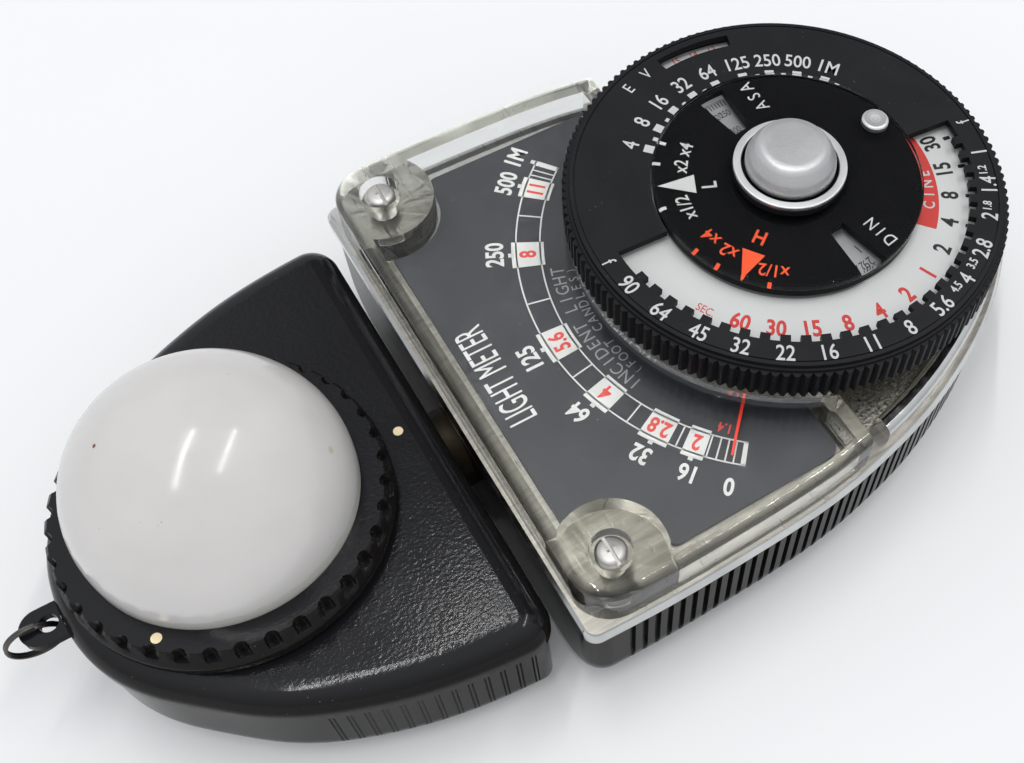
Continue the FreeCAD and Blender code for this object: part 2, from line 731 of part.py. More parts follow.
def neck_point(curve):
    """Where the head's right-hand side line meets the neck face."""
    low = curve.FirstParameter
    high = (curve.FirstParameter + curve.LastParameter) / 2
    for _ in range(40):
        middle = (low + high) / 2
        if curve.value(middle).y < HEAD_NECK_Y:
            low = middle
        else:
            high = middle
    return curve.value((low + high) / 2)


def head_screw_points():
    """Places of the two screws that close the head from behind."""
    return [(15.5, 48.8), (-15.5, 48.8)]


def make_head_rear_shell():
    outer = hull(HEAD_HALF, HEAD_NECK_Y, SEAM_STEP, 0, HEAD_SEAM, HEAD_BACK_RADIUS)
    outer = outer.common(slab(HEAD_HALF, HEAD_NECK_Y, SEAM_STEP, -1, 30, HEAD_CORNER_R))
    inner = hull(HEAD_HALF, HEAD_NECK_Y, WALL + SEAM_STEP, WALL, HEAD_SEAM + 5,
                 HEAD_BACK_RADIUS - WALL)
    body = outer.cut(inner).cut(grip_grooves(1)).cut(grip_grooves(-1))
    for x, y in head_screw_points():
        body = body.fuse(cyl(2.3, WALL - 0.3, 10.8, x, y))
    for x, y in head_screw_points():
        body = body.cut(cyl(1.05, -1, 30, x, y)).cut(cyl(1.9, -1, 1.5, x, y))
    body = body.cut(cyl_y(BUSH_R + RUNNING, HEAD_NECK_Y - 1, HEAD_NECK_Y + 4, AXLE_Z))
    slot = box(-13.5, 13.5, 70, 90, HEAD_SEAM - SLOT_HEIGHT, 20)
    return body.cut(slot).removeSplitter()


def make_head_front_shell():
    outer = slab(HEAD_HALF, HEAD_NECK_Y, 0, HEAD_SEAM, HEAD_TOP, HEAD_CORNER_R)
    outer = outer.makeFillet(HEAD_EDGE_R, flat_edges(outer, HEAD_TOP))
    inner = slab(HEAD_HALF, HEAD_NECK_Y, WALL, HEAD_SEAM - 1, HEAD_TOP - WALL, 1.0)
    body = outer.cut(inner)
    for x, y in head_screw_points():
        body = body.fuse(cyl(2.3, 10.8, HEAD_TOP - WALL + 0.2, x, y))
        body = body.cut(cyl(1.05, 10, 15.4, x, y))
    body = body.cut(cyl(SPIGOT_R + RUNNING, 0, 30, 0, CELL_Y))
    body = body.cut(cyl(INDEX_PIN_R, HEAD_TOP - 0.8, 30, 0, HEAD_PIN_Y))
    gap = LUG_HALF_THICK + 0.05
    lug = box(-2.45, 2.45, 76, 90, LUG_Z - gap, LUG_Z + gap)
    return body.cut(lug).removeSplitter()


def make_head_screws():
    screws = []
    for x, y in head_screw_points():
        screw = cyl(1.75, 0.35, 1.45, x, y).fuse(cyl(1.0, 1.4, 15.2, x, y))
        screws.append(screw.cut(box(x - 2, x + 2, y - 0.22, y + 0.22, 0.2, 0.75)))
    return Part.makeCompound(screws)


def make_head_index_pin():
    return cyl(INDEX_PIN_R, HEAD_TOP - 0.8, HEAD_TOP + 0.05, 0, HEAD_PIN_Y)


def make_cell_holder():
    """Cup under the front shell that holds the light cell."""
    body = tube(14.6, 13.8, 11.4, HEAD_TOP - WALL, 0, CELL_Y)
    body = body.fuse(tube(14.6, 5.0, 10.6, 11.5, 0, CELL_Y))
    return body.cut(box(-3, 3, 76.8, 90, LUG_Z - 0.7, 40)).removeSplitter()


def make_cell_backing():
    """Insulating disc behind the cell."""
    return cyl(13.7, 11.5, 12.4, 0, CELL_Y)


def make_cell_disc():
    """Selenium light cell."""
    return cyl(13.7, 12.4, 13.2, 0, CELL_Y)


def make_cell_contact_ring():
    return tube(13.7, 12.0, 13.2, 13.6, 0, CELL_Y)


def make_strap_lug():
    """Flat tab at the head's tip with a hole for the strap ring."""
    z0, z1 = LUG_Z - LUG_HALF_THICK, LUG_Z + LUG_HALF_THICK
    body = box(-2.4, 2.4, 77.4, 80.6, z0, z1)
    neck = box(-LUG_HALF_WIDTH, LUG_HALF_WIDTH, 79.5, LUG_TIP_Y - LUG_HALF_WIDTH, z0, z1)
    end = cyl(LUG_HALF_WIDTH, z0, z1, 0, LUG_TIP_Y - LUG_HALF_WIDTH)
    return body.fuse(neck).fuse(end).cut(cyl(LUG_HOLE_R, 0, 30, 0, LUG_HOLE_Y)).removeSplitter()


def make_strap_ring():
    """Wire ring that hangs through the tab's hole."""
    centre = V(0, LUG_HOLE_Y + 1.9, LUG_Z - 1.25)
    return Part.makeTorus(STRAP_RING_R, STRAP_WIRE_R, centre, V(1, 0, 0))


def make_receptor_ring():
    """Notched bezel of the light receptor with the spigot that enters the head."""
    body = turned([(DOME_R + 0.03, 17.7), (DOME_R + 0.03, RING_TOP), (RING_R - 0.65, RING_TOP),
                   (RING_R - 0.35, RING_TOP - 0.3), (RING_R - 0.35, NOTCH_FLOOR),
                   (RING_R, NOTCH_FLOOR - 0.3), (RING_R, 17.6), (RING_R - 0.5, 17.12),
                   (SPIGOT_R, 17.12), (SPIGOT_R, 15.0), (12.2, 15.0), (12.2, 17.7)])
    cuts = []
    for i in range(RING_NOTCHES):
        angle = 5 + 360.0 / RING_NOTCHES * i
        x, y = polar(NOTCH_R, angle)
        slot = box(0, 3, -0.7, 0.7, NOTCH_FLOOR, 30).fuse(cyl(0.7, NOTCH_FLOOR, 30))
        slot.rotate(V(0, 0, 0), V(0, 0, 1), angle)
        slot.translate(V(x, y, 0))
        cuts.append(slot)
    body = body.cut(Part.makeCompound(cuts))
    x, y = polar(14.0, 136)
    body = body.cut(cyl(INDEX_PIN_R, RING_TOP - 0.8, 30, x, y))
    body.translate(V(0, CELL_Y, 0))
    return body


def make_ring_index_pin():
    x, y = polar(14.0, 136)
    return cyl(INDEX_PIN_R, RING_TOP - 0.8, RING_TOP + 0.05, x, y + CELL_Y)


def make_diffuser_dome():
    """Thin white hemisphere on a straight skirt."""
    middle = V(0, CELL_Y, RING_TOP + DOME_SKIRT)
    outer = Part.makeSphere(DOME_R, middle).fuse(cyl(DOME_R, 17.7, middle.z, 0, CELL_Y))
    inner = Part.makeSphere(DOME_R - 1.2, middle).fuse(cyl(DOME_R - 1.2, 17.0, middle.z, 0, CELL_Y))
    keep = box(-30, 30, 40, 90, 17.7, 60)
    return outer.common(keep).cut(inner).removeSplitter()


def main():
    os.makedirs("parts", exist_ok=True)
    makers = {name[5:]: maker for name, maker in globals().items() if name.startswith("make_")}
    for node, maker in sorted(makers.items()):
        shape = maker()
        shape.exportStep("parts/" + node + ".step")
        print(node, len(shape.Solids), shape.isValid(), round(shape.Volume, 2))


main()
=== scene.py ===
import json
import math

import bmesh
import bpy
import numpy as np
from mathutils import Matrix, Vector


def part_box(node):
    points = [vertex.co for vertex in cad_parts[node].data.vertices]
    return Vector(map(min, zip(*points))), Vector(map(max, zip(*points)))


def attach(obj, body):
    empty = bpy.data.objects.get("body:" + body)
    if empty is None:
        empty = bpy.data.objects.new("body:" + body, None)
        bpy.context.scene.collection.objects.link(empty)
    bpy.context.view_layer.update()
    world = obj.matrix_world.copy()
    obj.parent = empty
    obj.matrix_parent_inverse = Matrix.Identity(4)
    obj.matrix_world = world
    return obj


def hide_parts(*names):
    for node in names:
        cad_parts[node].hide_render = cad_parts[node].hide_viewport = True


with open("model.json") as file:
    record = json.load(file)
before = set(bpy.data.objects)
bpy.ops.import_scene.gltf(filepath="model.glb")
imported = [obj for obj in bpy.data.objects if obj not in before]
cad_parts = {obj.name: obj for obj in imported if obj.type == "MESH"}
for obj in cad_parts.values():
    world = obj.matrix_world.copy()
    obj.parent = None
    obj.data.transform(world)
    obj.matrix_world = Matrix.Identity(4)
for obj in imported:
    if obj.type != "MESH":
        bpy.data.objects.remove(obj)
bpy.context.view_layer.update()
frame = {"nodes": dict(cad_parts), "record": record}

MM = 0.001                    # one millimetre in metres
NODES = frame["nodes"]
SLOT_OF = {row["node"]: row["material_slot"] for row in frame["record"]["subparts"]}

# places on the meter, in millimetres
BORDER_TOP = 17.05            # flat face of the chromed border
BRIGHT_FACE_X = (18.0, 27.0)       # the border's flat face turns from a darker, streaked tone to a brighter one between these: painted shade and painted reflection
DOME_FOOT = 22.0              # the dome's yellowed foot reaches this height
SCALE_ARCS = (26.02, 28.60)   # inner radii of the needle scale's two lines
SCALE_LINE = 0.16             # width of those lines
BOX_ARC = 27.4                # radius at which the white boxes' widths are measured
BOX_RADIUS = 27.45            # numbers in the white boxes
STOP_RADIUS = 21.2            # aperture numbers on the outer dial
LIGHT_RADIUS = 16.9           # foot-candle numbers on the outer dial
TIME_RADIUS = 17.4            # shutter times
CINE_BAND = (14.0, 16.2)      # radii of the red band
SHADE_RING_RADII = (7.5, 13.8)      # radii of a grey ring painted on the speed disc as the shadow under the pointer dial
WELD = 0.002                  # vertices of a CAD mesh nearer than this are one
FLOOR_DROP = 0.05             # the floor lies this far below the case's flat back

# the room, in metres
FLOOR_HALF = 3.0              # half of the floor's side
TUBE_WIDTH = 0.013            # width of a ceiling tube
SHADED_SIDE = Vector((0.491, -0.439, 0.752)).normalized()   # direction that stays dim


def top_of(node):
    """Highest point of a CAD node, in millimetres."""
    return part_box(node)[1].z / MM


# ------------------------------------------------------------------ materials

class Look:
    """A material whose nodes are wired by short calls. Lengths are in millimetres."""

    def __init__(self, name, **sockets):
        self.material = bpy.data.materials.new(name)
        self.material.use_nodes = True
        self.tree = self.material.node_tree
        self.shader = self.tree.nodes["Principled BSDF"]
        self.place = self.add("ShaderNodeTexCoord").outputs["Object"]
        self.set(**sockets)

    def add(self, kind, **settings):
        node = self.tree.nodes.new(kind)
        for key, value in settings.items():
            setattr(node, key, value)
        return node

    def plug(self, socket, value):
        """Gives a socket a link or a fixed value."""
        if isinstance(value, bpy.types.NodeSocket):
            self.tree.links.new(value, socket)
        elif isinstance(value, (tuple, list)) and socket.type == "RGBA":
            socket.default_value = (*value[:3], 1.0)
        else:
            socket.default_value = value

    def set(self, **sockets):
        """Sets inputs of the surface shader, named with underscores."""
        for key, value in sockets.items():
            self.plug(self.shader.inputs[key.replace("_", " ")], value)

    def at(self, shift=0.0, stretch=(1, 1, 1)):
        """Object position, shifted and stretched."""
        node = self.add("ShaderNodeMapping")
        self.plug(node.inputs["Vector"], self.place)
        node.inputs["Location"].default_value = (shift * 0.37, shift * 0.61, shift * 0.23)
        node.inputs["Scale"].default_value = stretch
        return node.outputs["Vector"]

    def noise(self, size, detail=3.0, shift=0.0, stretch=(1, 1, 1), rough=0.5):
        """Noise whose coarsest lumps are of this size."""
        node = self.add("ShaderNodeTexNoise")
        self.plug(node.inputs["Vector"], self.at(shift, stretch))
        node.inputs["Scale"].default_value = 1 / (size * MM)
        node.inputs["Detail"].default_value = detail
        node.inputs["Roughness"].default_value = rough
        return node.outputs["Fac"]

    def remap(self, value, a, b, c=0.0, d=1.0):
        """Maps a to b onto c to d, and holds the ends."""
        node = self.add("ShaderNodeMapRange")
        sockets = ("Value", "From Min", "From Max", "To Min", "To Max")
        for key, v in zip(sockets, (value, a, b, c, d)):
            self.plug(node.inputs[key], v)
        return node.outputs["Result"]

    def math(self, kind, a, b=0.0):
        node = self.add("ShaderNodeMath", operation=kind)
        self.plug(node.inputs[0], a)
        self.plug(node.inputs[1], b)
        return node.outputs[0]

    def mix(self, share, a, b):
        """Colour a, or b where the share is one."""
        node = self.add("ShaderNodeMix", data_type="RGBA")
        self.plug(node.inputs[0], share)
        self.plug(node.inputs[6], a)
        self.plug(node.inputs[7], b)
        return node.outputs[2]

    def part(self, kind, name):
        """One output of an input node, such as the pointiness."""
        return self.add(kind).outputs[name]

    def up(self):
        """Height of the surface normal: one on a level top, zero on an upright side."""
        return self.xyz(self.part("ShaderNodeNewGeometry", "Normal"))[2]

    def xyz(self, vector):
        node = self.add("ShaderNodeSeparateXYZ")
        self.plug(node.inputs[0], vector)
        return node.outputs

    def bump(self, height, depth):
        """Bump of a real depth in millimetres."""
        node = self.add("ShaderNodeBump")
        node.inputs["Strength"].default_value = 1.0
        node.inputs["Distance"].default_value = depth * MM
        self.plug(node.inputs["Height"], height)
        return node.outputs["Normal"]


def surface(name, color, rough, metallic=0.0, vary=0.2, grain=0.5, depth=0.003, dust=0.0,
            wear_and_shade=None, brush=(1, 1, 1)):
    """The common recipe: mottled colour, grain, dust and rubbed edges."""
    look = Look(name, Metallic=metallic)
    broad = look.noise(7.0, 4.0, 1.0)
    fine = look.noise(grain, 5.0, 2.0, brush, 0.6)
    tone = look.mix(look.remap(broad, 0.3, 0.7), [c * (1 - vary) for c in color],
                    [c * (1 + vary) for c in color])
    if dust:
        specks = look.remap(look.noise(0.3, 1.0, 3.0), 0.765, 0.80, 0.0, dust)
        tone = look.mix(specks, tone, (0.4, 0.39, 0.37))
    if wear_and_shade:
        edge = look.remap(look.part("ShaderNodeNewGeometry", "Pointiness"), 0.54, 0.66)
        edge = look.math("MULTIPLY", edge, look.remap(look.noise(1.1, 4.0, 4.0), 0.4, 0.7))
        tone = look.mix(edge, tone, wear_and_shade)
    smear = look.noise(4.0, 3.0, 5.0)
    blend = look.math("ADD", look.math("MULTIPLY", fine, 0.5), look.math("MULTIPLY", smear, 0.5))
    look.set(Base_Color=tone, Roughness=look.remap(blend, 0.3, 0.7, rough * 0.82, rough * 1.2),
             Normal=look.bump(fine, depth))
    return look


def make_case_black():
    """Glossy black moulding with a peel grain on its level faces; upright sides are duller, with
    painted shading that makes them lighter and browner.
    """
    look = Look("case_black")
    up = look.math("ABSOLUTE", look.up())
    level = look.remap(up, 0.93, 0.995, 0.06, 1.0)
    side = look.remap(up, 0.3, 0.9, 1.0, 0.0)
    peel = look.noise(0.3, 2.0, 1.0, (1.0, 0.7, 1.0), 0.5)
    tone = look.mix(look.remap(look.noise(12.0, 3.0, 2.0), 0.3, 0.7), (0.0080, 0.0078, 0.0092),
                    (0.0100, 0.0098, 0.0112))
    # painted shading: upright faces get a lighter, browner tone than level ones by their facing
    # alone
    tone = look.mix(side, tone, (0.0105, 0.0092, 0.0082))
    specks = look.remap(look.noise(0.25, 1.0, 3.0), 0.785, 0.80, 0.0, 0.25)
    tone = look.mix(specks, tone, (0.4, 0.39, 0.37))
    rubbed = look.remap(look.noise(0.5, 5.0, 4.0, (1, 1, 0.4), 0.75), 0.62, 0.72, 0.0, 0.35)
    tone = look.mix(look.math("MULTIPLY", rubbed, side), tone, (0.05, 0.045, 0.04))
    look.set(Base_Color=tone, IOR=look.remap(up, 0.3, 0.9, 1.13, 1.36),
             Roughness=look.remap(look.noise(6.0, 3.0, 5.0), 0.3, 0.7, 0.11, 0.16),
             Normal=look.bump(look.math("MULTIPLY", peel, level), 0.019))
    return look.material


def make_chrome():
    """Polished chrome whose flat face is a softer, brushed champagne grey, with painted shade
    that darkens most of it and a painted reflection that brightens it towards +x.
    """
    look = Look("chrome", Metallic=1.0)
    x, _, z = look.xyz(look.place)
    below_rim = look.remap(z, BORDER_TOP * MM, (BORDER_TOP + 0.05) * MM, 1.0, 0.0)
    flat = look.math("MULTIPLY", look.remap(look.up(), 0.97, 0.99), below_rim)
    brushed = look.noise(0.3, 4.0, 1.0, (0.1, 1, 1), 0.6)
    broad = look.remap(look.noise(6.0, 4.0, 2.0), 0.3, 0.7)
    streak = look.remap(look.noise(0.4, 4.0, 6.0, (1, 0.05, 1), 0.6), 0.3, 0.7)
    # painted shade and painted reflection: the flat face is darker with fine streaks below x 18
    # mm and brighter beyond x 27 mm; the fine streaks belong to the finish
    wear_and_shade = look.mix(streak, (0.27, 0.255, 0.225), (0.42, 0.40, 0.36))
    lit_brushed = look.mix(brushed, (0.58, 0.57, 0.55), (0.80, 0.79, 0.77))
    satin = look.mix(look.remap(x, BRIGHT_FACE_X[0] * MM, BRIGHT_FACE_X[1] * MM), wear_and_shade, lit_brushed)
    bright = look.mix(broad, (0.50, 0.50, 0.50), (0.64, 0.64, 0.63))
    pits = look.remap(look.noise(0.3, 2.0, 3.0), 0.68, 0.74)
    bright = look.mix(look.math("MULTIPLY", pits, 0.5), bright, (0.2, 0.19, 0.17))
    look.set(Base_Color=look.mix(flat, bright, satin))
    gloss = look.remap(look.noise(1.5, 5.0, 4.0), 0.3, 0.7, 0.08, 0.2)
    dull = look.remap(brushed, 0.3, 0.7, 0.26, 0.42)
    rough = look.math("ADD", look.math("MULTIPLY", gloss, look.math("SUBTRACT", 1.0, flat)),
                      look.math("MULTIPLY", dull, flat))
    look.set(Roughness=rough, Normal=look.bump(look.math("MULTIPLY", brushed, flat), 0.006))
    return look.material


def make_blasted():
    """Blasted metal with a coarse stipple of light and dark specks."""
    look = Look("blasted", Metallic=1.0)
    stipple = look.noise(0.28, 3.0, 1.0)
    tone = look.mix(look.remap(stipple, 0.35, 0.65), (0.30, 0.29, 0.25), (0.72, 0.69, 0.60))
    glints = look.remap(look.noise(0.2, 1.0, 4.0), 0.68, 0.74)
    look.set(Base_Color=look.mix(glints, tone, (0.95, 0.93, 0.88)),
             Roughness=look.remap(look.noise(0.5, 4.0, 2.0), 0.3, 0.7, 0.25, 0.5),
             Normal=look.bump(stipple, 0.05))
    return look.material


def make_clear(name, ior):
    """Clear acrylic. Light on its way to what is underneath passes straight through."""
    look = Look(name, Base_Color=(0.985, 0.99, 0.985), IOR=ior, Transmission_Weight=1.0)
    scuffs = look.noise(0.9, 6.0, 1.0, (1, 0.25, 1), 0.7)
    look.set(Roughness=look.remap(scuffs, 0.45, 0.75, 0.0, 0.05),
             Normal=look.bump(look.noise(5.0, 2.0, 2.0), 0.01))
    through = look.add("ShaderNodeBsdfTransparent")
    through.inputs["Color"].default_value = (0.93, 0.94, 0.92, 1)
    mix = look.add("ShaderNodeMixShader")
    look.plug(mix.inputs[0], look.part("ShaderNodeLightPath", "Is Shadow Ray"))
    look.plug(mix.inputs[1], look.shader.outputs[0])
    look.plug(mix.inputs[2], through.outputs[0])
    look.plug(look.tree.nodes["Material Output"].inputs["Surface"], mix.outputs[0])
    return look.material


def make_opal():
    """Opal plastic dome, milky and slightly uneven, with a yellowed foot and a few specks."""
    look = Look("opal", IOR=1.45, Subsurface_Weight=0.35, Subsurface_Scale=1.5 * MM,
                Subsurface_Radius=(1.0, 0.95, 0.85))
    cloud = look.remap(look.noise(9.0, 5.0, 1.0), 0.3, 0.7)
    tone = look.mix(cloud, (0.595, 0.57, 0.555), (0.645, 0.62, 0.605))
    wave = look.math("MULTIPLY", look.noise(1.6, 2.0, 6.0), 1.2 * MM)
    height = look.math("SUBTRACT", look.xyz(look.place)[2], wave)
    foot = look.remap(height, (DOME_FOOT - 0.1) * MM, (DOME_FOOT + 0.1) * MM, 1.0, 0.0)
    tone = look.mix(look.math("MULTIPLY", foot, 0.7), tone, (0.50, 0.49, 0.44))
    flecks = look.remap(look.noise(0.5, 1.0, 7.0), 0.80, 0.81, 0.0, 0.6)
    tone = look.mix(flecks, tone, (0.30, 0.24, 0.18))
    for spot, size, stain in (((2.36, 69.89, 33.65), 0.17, (0.16, 0.04, 0.01)),
                              ((-5.09, 53.14, 28.45), 0.3, (0.50, 0.52, 0.36))):
        away = look.add("ShaderNodeVectorMath", operation="DISTANCE")
        look.plug(away.inputs[0], look.place)
        away.inputs[1].default_value = Vector(spot) * MM
        near = look.remap(away.outputs["Value"], size * 0.8 * MM, size * 1.4 * MM, 1.0, 0.0)
        tone = look.mix(near, tone, stain)
    look.set(Base_Color=tone,
             Roughness=look.remap(look.noise(2.0, 6.0, 2.0), 0.3, 0.7, 0.12, 0.2),
             Normal=look.bump(look.noise(0.9, 3.0, 3.0), 0.002))
    return look.material


def make_turned(name, color, rough, rings, centre):
    """Metal turned on a lathe: fine rings of a given spacing round an upright axis."""
    look = Look(name, Metallic=1.0)
    x, y, _ = look.xyz(look.place)
    x = look.math("SUBTRACT", x, centre[0] * MM)
    y = look.math("SUBTRACT", y, centre[1] * MM)
    radius = look.math("SQRT", look.math("ADD", look.math("MULTIPLY", x, x),
                                         look.math("MULTIPLY", y, y)))
    line = look.add("ShaderNodeTexNoise", noise_dimensions="1D")
    look.plug(line.inputs["W"], radius)
    line.inputs["Scale"].default_value = 1 / (rings * MM)
    line.inputs["Detail"].default_value = 3.0
    ring = line.outputs["Fac"]
    broad = look.remap(look.noise(3.0, 4.0, 1.0), 0.3, 0.7)
    look.set(Base_Color=look.mix(broad, [c * 0.86 for c in color], color),
             Roughness=look.remap(ring, 0.3, 0.7, rough * 0.75, rough * 1.3),
             Normal=look.bump(ring, 0.004))
    return look.material


def make_dial_black(name, tone, ior):
    """Satin black enamel, duller on upright faces."""
    look = surface(name, (tone, tone, tone * 1.12), 0.36, vary=0.05, dust=0.15, grain=0.25,
                   depth=0.0015)
    look.set(IOR=look.remap(look.up(), 0.3, 0.9, 1.12, ior))
    return look.material


def make_ink(name, color, vary):
    """Printing ink; the grey one also colours a painted shadow on the speed disc."""
    return surface(name, color, 0.5, vary=vary, grain=0.15, depth=0.002).material


LOOKS = {
    "case_black": make_case_black(),
    "chrome": make_chrome(),
    "blasted": make_blasted(),
    "clear": make_clear("clear", 1.47),
    "opal": make_opal(),
    "aluminium": surface("aluminium", (0.84, 0.84, 0.84), 0.42, 1.0, vary=0.06, grain=0.12,
                         depth=0.008).material,
    "scale_black": surface("scale_black", (0.024, 0.0255, 0.031), 0.42, dust=0.3,
                           grain=0.3).material,
    "dial_black": make_dial_black("dial_black", 0.0115, 1.34),
    "dial_white": surface("dial_white", (0.64, 0.64, 0.63), 0.4, vary=0.03, dust=0.15).material,
    "steel": surface("steel", (0.60, 0.58, 0.55), 0.42, 1.0, brush=(1, 0.15, 1)).material,
    "brass": surface("brass", (0.66, 0.47, 0.22), 0.3, 1.0).material,
    "gold_pin": surface("gold_pin", (0.86, 0.72, 0.46), 0.28, 1.0, vary=0.1).material,
    "needle_red": surface("needle_red", (0.75, 0.035, 0.015), 0.4, vary=0.1).material,
    "coil_copper": surface("coil_copper", (0.6, 0.26, 0.13), 0.35, 1.0, grain=0.12, depth=0.03,
                           brush=(0.1, 0.1, 1)).material,
    "magnet": surface("magnet", (0.16, 0.16, 0.17), 0.5, 1.0, grain=0.3, depth=0.01).material,
    "soft_iron": surface("soft_iron", (0.42, 0.42, 0.43), 0.35, 1.0).material,
    "cell_dark": surface("cell_dark", (0.05, 0.045, 0.06), 0.3, 0.4, grain=0.2).material,
    "insulator": surface("insulator", (0.32, 0.2, 0.11), 0.7, grain=0.25, depth=0.01).material,
    "ring_steel": surface("ring_steel", (0.075, 0.07, 0.065), 0.38, 1.0, vary=0.4, grain=0.2,
                          wear_and_shade=(0.45, 0.43, 0.40)).material,
}
NODE_LOOKS = {
    "pointer_print": make_dial_black("pointer_black", 0.006, 1.1),
    "swivel_bush": surface("aged_bush", (0.035, 0.028, 0.02), 0.5, 1.0, vary=0.3).material,
}
INK_WHITE = make_ink("ink_white", (0.57, 0.57, 0.56), 0.05)
GREY_INK_AND_SHADE = make_ink("grey_ink_and_shade", (0.27, 0.27, 0.28), 0.08)
INK_RED = make_ink("ink_red", (0.60, 0.045, 0.035), 0.08)
INK_ORANGE = make_ink("ink_orange", (0.78, 0.070, 0.006), 0.08)
INK_BLACK = make_ink("ink_black", (0.015, 0.015, 0.016), 0.1)


# ------------------------------------------------------------------ CAD nodes

def dress_cad_nodes():
    """Gives every CAD node its material and joins its doubled vertices."""
    for name, node in NODES.items():
        look = NODE_LOOKS.get(name, LOOKS[SLOT_OF[name]])
        for i in range(len(node.data.materials)):
            node.data.materials[i] = look
        weld = node.modifiers.new("weld", "WELD")
        weld.merge_threshold = WELD * MM


dress_cad_nodes()


# ------------------------------------------------------------------ printing and a painted shadow

def polar(r, degrees):
    """Point at a radius and an angle."""
    a = math.radians(degrees)
    return r * math.cos(a), r * math.sin(a)


def add_piece(name, mesh, material, body, replaces=()):
    """Makes a mesh in metres a piece that rides on a body."""
    piece = bpy.data.objects.new(name, mesh)
    bpy.context.scene.collection.objects.link(piece)
    mesh.materials.clear()
    mesh.materials.append(material)
    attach(piece, body)
    if replaces:
        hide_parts(*replaces)


class Print:
    """Flat ink of one colour, or a painted shadow, gathered into a single mesh at one height."""

    THICK = 0.012

    def __init__(self, z):
        self.z = z
        self.verts, self.faces = [], []

    def take(self, points, faces):
        """Adds points and the faces between them."""
        base = len(self.verts)
        self.verts += points
        self.faces += [[base + i for i in f] for f in faces]

    def shape(self, outline):
        """A flat polygon, given counter-clockwise, as a thin slab."""
        n = len(outline)
        low, high = self.z, self.z + self.THICK
        points = [(x, y, low) for x, y in outline] + [(x, y, high) for x, y in outline]
        sides = [[i, (i + 1) % n, n + (i + 1) % n, n + i] for i in range(n)]
        self.take(points, [list(range(n, 2 * n)), list(range(n - 1, -1, -1))] + sides)

    def band(self, r0, r1, a0, a1):
        """Part of a ring."""
        steps = max(1, int(abs(a1 - a0) / 1.5))
        for i in range(steps):
            s, e = a0 + (a1 - a0) * i / steps, a0 + (a1 - a0) * (i + 1) / steps
            self.shape([polar(r0, s), polar(r1, s), polar(r1, e), polar(r0, e)])

    def tick(self, r0, r1, angle, width):
        """A radial line of constant width."""
        c, s = polar(1.0, angle)
        h = width / 2
        self.shape([(c * r0 + s * h, s * r0 - c * h), (c * r1 + s * h, s * r1 - c * h),
                    (c * r1 - s * h, s * r1 + c * h), (c * r0 - s * h, s * r0 + c * h)])

    def text(self, words, x, y, angle, height, width=None, bold=0.02, squeeze=0.84):
        """Lettering centred on a point; the angle turns its baseline."""
        curve = bpy.data.curves.new("lettering", "FONT")
        curve.body = words
        curve.offset = bold
        curve.extrude = 0.01
        curve.resolution_u = 4
        holder = bpy.data.objects.new("lettering", curve)
        bpy.context.scene.collection.objects.link(holder)
        bpy.context.view_layer.update()
        mesh = bpy.data.meshes.new_from_object(holder)
        co = np.array([v.co for v in mesh.vertices])
        lo, hi = co.min(0), co.max(0)
        across = width or (hi[0] - lo[0]) / (hi[1] - lo[1]) * height * squeeze
        flat = (co - (lo + hi) / 2) / (hi - lo)
        c, s = polar(1.0, angle)
        u, v = flat[:, 0] * across, flat[:, 1] * height
        z = self.z + (flat[:, 2] + 0.5) * self.THICK
        points = [tuple(p) for p in np.stack([x + u * c - v * s, y + u * s + v * c, z], 1)]
        self.take(points, [list(f.vertices) for f in mesh.polygons])
        bpy.data.objects.remove(holder)
        bpy.data.curves.remove(curve)
        bpy.data.meshes.remove(mesh)

    def round_text(self, words, angle, r, height, inward=False, **more):
        """Lettering at a place on a circle, with its tops outwards or inwards."""
        x, y = polar(r, angle)
        self.text(words, x, y, angle + (90 if inward else -90), height, **more)

    def arched(self, words, r, start, end, height, **more):
        """Single letters spread along an arc."""
        for i, letter in enumerate(words):
            if letter != " ":
                a = start + (end - start) * i / (len(words) - 1)
                self.round_text(letter, a, r, height, **more)

    def finish(self, name, material, body, slot):
        """Makes the ink, or the painted shadow, a piece on a body."""
        mesh = bpy.data.meshes.new(name)
        mesh.from_pydata([(x * MM, y * MM, z * MM) for x, y, z in self.verts], [], self.faces)
        add_piece(name, mesh, material, body)


